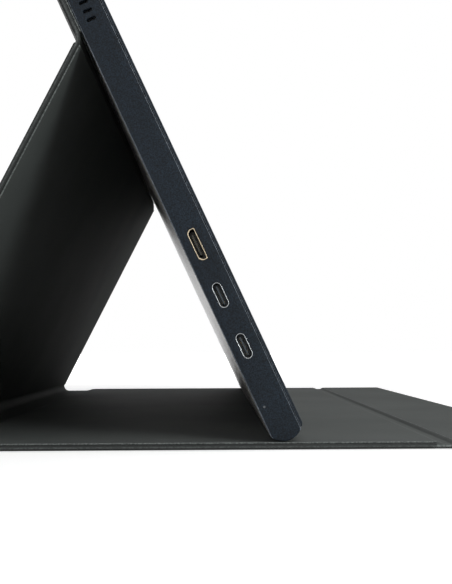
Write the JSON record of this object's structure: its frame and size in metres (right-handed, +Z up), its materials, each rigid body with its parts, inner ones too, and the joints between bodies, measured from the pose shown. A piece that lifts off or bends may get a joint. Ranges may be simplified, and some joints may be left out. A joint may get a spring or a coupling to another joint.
{
  "type": "portable monitor with cover",
  "caption": "Slim portable monitor with side ports, held by magnets in a folding leather-look cover that makes its tilted stand and front flap.",
  "frame": {"origin": "centre of the base panel's underside, on the table", "axes": "+X towards the user, the side of the screen; +Y along the width, away from the port side; +Z up"},
  "size_m": [0.2358, 0.3596, 0.2072],
  "materials": {
    "outer_leather": "fine grain",
    "inner_lining": "smooth soft touch",
    "stiff_board": "pressed fibre board",
    "magnet_steel": "nickel plated",
    "housing_plastic": "fine spark-eroded texture with metallic flake",
    "bezel_plastic": "fine matt texture",
    "key_plastic": "fine matt texture",
    "screen_film": "anti-glare film",
    "black_tape": "adhesive film",
    "optic_sheet": "translucent film",
    "lamp_strip": "white lamps on film",
    "tray_metal": "rolled sheet",
    "circuit_board": "solder mask",
    "chip_plastic": "moulded",
    "screw_steel": "zinc plated",
    "port_steel": "nickel plated",
    "port_gold": "gold flashed",
    "port_plastic": "glass-filled moulding",
    "cable_film": "flat film cable",
    "wire_red": "insulated wire",
    "light_lens": "clear light pipe"
  },
  "bodies": {
    "base": {"base_skin": "outer_leather", "base_board": "stiff_board", "base_lining": "inner_lining", "rear_crease": "outer_leather", "groove_strip": "outer_leather"},
    "leg": {"leg_skin": "outer_leather", "leg_board": "stiff_board", "leg_lining": "inner_lining", "apex_crease": "outer_leather"},
    "back_panel": {"back_skin": "outer_leather", "back_board": "stiff_board", "back_lining": "inner_lining", "back_magnets": "magnet_steel"},
    "flap": {"flap_skin": "outer_leather", "flap_board": "stiff_board", "flap_lining": "inner_lining", "flap_magnets": "magnet_steel"},
    "monitor": {"rear_housing": "housing_plastic", "front_bezel": "bezel_plastic", "bezel_magnets": "magnet_steel", "screen_tape": "black_tape", "lcd_cell": "screen_film", "diffuser_sheets": "optic_sheet", "light_guide": "optic_sheet", "reflector_sheet": "optic_sheet", "led_strip": "lamp_strip", "panel_tray": "tray_metal", "driver_board": "circuit_board", "panel_cable": "cable_film", "main_board": "circuit_board", "board_chips": "chip_plastic", "chip_shield": "tray_metal", "board_screws": "screw_steel", "video_port_shell": "port_gold", "video_port_tongue": "port_plastic", "data_port_shell_upper": "port_steel", "data_port_tongue_upper": "port_plastic", "data_port_shell_lower": "port_steel", "data_port_tongue_lower": "port_plastic", "audio_jack": "port_plastic", "side_board": "circuit_board", "key_switches": "screw_steel", "side_cable": "cable_film", "speaker_near": "chip_plastic", "speaker_far": "chip_plastic", "speaker_wires": "wire_red", "status_light_pipe": "light_lens", "status_led": "lamp_strip", "magnet_plates": "magnet_steel"},
    "power_key": {"power_key": "key_plastic"},
    "rocker_key": {"rocker_key": "key_plastic"}
  },
  "joints": [
    {"name": "stand_fold", "type": "hinge", "parent": "base", "child": "leg", "pos_m": [-0.1057, 0, 0.0006], "axis": [0, -1, 0], "range_deg": [-10, 24], "deforming": ["rear_crease"]},
    {"name": "monitor_tilt", "type": "hinge", "parent": "leg", "child": "back_panel", "pos_m": [-0.03627, 0, 0.13739], "axis": [0, -1, 0], "range_deg": [-49.5, 21], "deforming": ["apex_crease"]},
    {"name": "flap_fold", "type": "hinge", "parent": "base", "child": "flap", "pos_m": [0.0847, 0, 0.0024], "axis": [0, -1, 0], "range_deg": [0, 172], "deforming": ["groove_strip"]},
    {"name": "monitor_detach", "type": "slide", "parent": "back_panel", "child": "monitor", "axis": [0.9078, 0, 0.4195], "range_m": [0, 0.04]},
    {"name": "power_press", "type": "slide", "parent": "monitor", "child": "power_key", "axis": [0, -1, 0], "range_m": [0, 0.0005], "stiffness_N_per_m": 2000, "springref_m": -0.0001},
    {"name": "rocker_tilt", "type": "hinge", "parent": "monitor", "child": "rocker_key", "pos_m": [-0.00179, 0.1752, 0.07731], "axis": [0.9078, 0, 0.4195], "range_deg": [-2, 2], "stiffness_Nm_per_rad": 0.5}
  ],
  "couplings": [
    {"joint": "monitor_tilt", "follows": "stand_fold", "ratio": -2.036}
  ]
}
